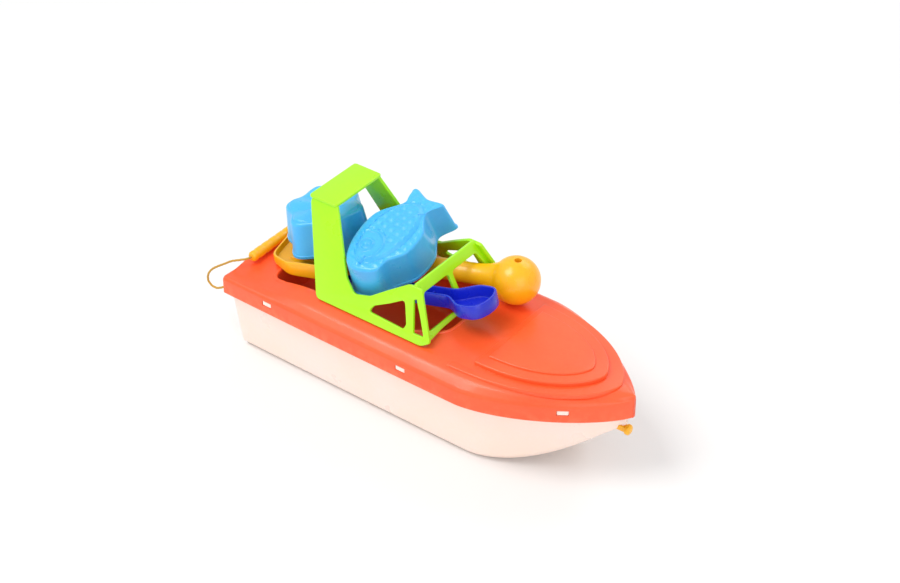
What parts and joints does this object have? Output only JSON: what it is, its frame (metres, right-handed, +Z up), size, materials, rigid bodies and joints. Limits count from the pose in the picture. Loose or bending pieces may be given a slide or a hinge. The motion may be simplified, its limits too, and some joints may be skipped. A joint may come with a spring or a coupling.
{
  "type": "toy boat",
  "caption": "Toy motor boat for the beach: hull, pressed-on deck with a cockpit, cabin frame, sand moulds, shovel, rake and a tow line.",
  "frame": {"origin": "middle of the boat's length and width, on the ground under the hull", "axes": "+X to the bow, +Y to the port side, +Z up"},
  "size_m": [0.399, 0.142, 0.1645],
  "materials": {
    "white_shell": "smooth moulded plastic",
    "coral_shell": "smooth moulded plastic",
    "lime_frame": "smooth moulded plastic",
    "blue_mould": "smooth moulded plastic",
    "yellow_tool": "smooth moulded plastic",
    "dark_blue_tool": "smooth moulded plastic",
    "cord": "thin twisted cord"
  },
  "bodies": {
    "boat": {"hull": "white_shell", "deck": "coral_shell", "cabin_frame": "lime_frame", "tow_handle": "yellow_tool", "tow_cord": "cord", "bow_cleat": "yellow_tool"},
    "fish_mould": {"fish_mould": "blue_mould"},
    "shell_mould": {"shell_mould": "blue_mould"},
    "shovel": {"shovel": "yellow_tool"},
    "rake": {"rake": "dark_blue_tool"}
  },
  "joints": [
    {"name": "fish_mould_lift", "type": "slide", "parent": "boat", "child": "fish_mould", "axis": [0, 0, 1], "range_m": [0, 0.12]},
    {"name": "shell_mould_draw", "type": "slide", "parent": "boat", "child": "shell_mould", "axis": [-1, 0, 0], "range_m": [0, 0.12]},
    {"name": "shovel_draw", "type": "slide", "parent": "boat", "child": "shovel", "axis": [0.9651, 0.2442, 0.0941], "range_m": [0, 0.006]},
    {"name": "rake_draw", "type": "slide", "parent": "boat", "child": "rake", "axis": [0.9653, 0.0337, 0.2588], "range_m": [0, 0.02]}
  ]
}
